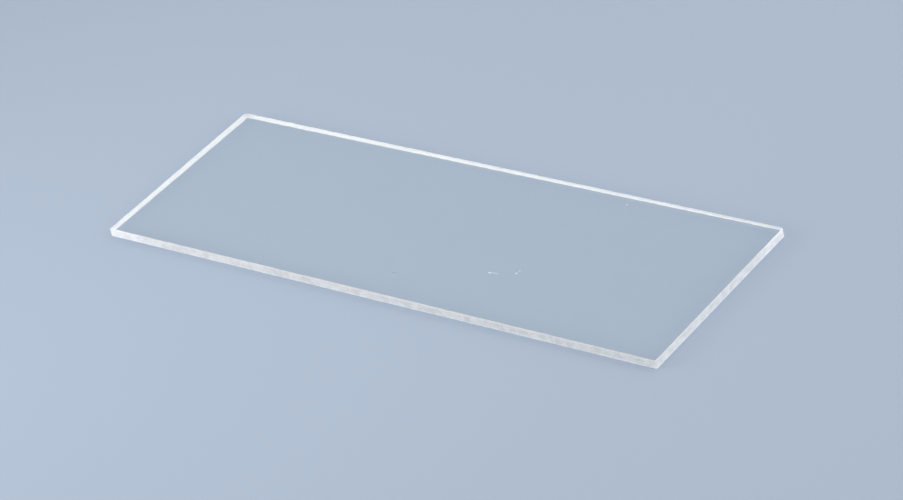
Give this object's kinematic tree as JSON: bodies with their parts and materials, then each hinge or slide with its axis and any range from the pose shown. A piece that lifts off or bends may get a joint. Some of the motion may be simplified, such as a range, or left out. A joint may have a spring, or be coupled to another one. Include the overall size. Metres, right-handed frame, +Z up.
{
  "type": "microscope slide",
  "caption": "Plain rectangular glass microscope slide, clear and colourless, with ground edges, dubbed corners and no frosted writing end.",
  "frame": {"origin": "centre of the underside, the polished face that the slide lies on", "axes": "+X along the slide's length, +Y across its width, +Z up through its thickness, out of the specimen face"},
  "size_m": [0.076, 0.026, 0.0011],
  "materials": {
    "clear_glass": "polished clear faces, with all four edges, the dubbed corners and the fine arrises ground to a matt white frost"
  },
  "bodies": {
    "root": {"glass_slide": "clear_glass"}
  },
  "joints": []
}
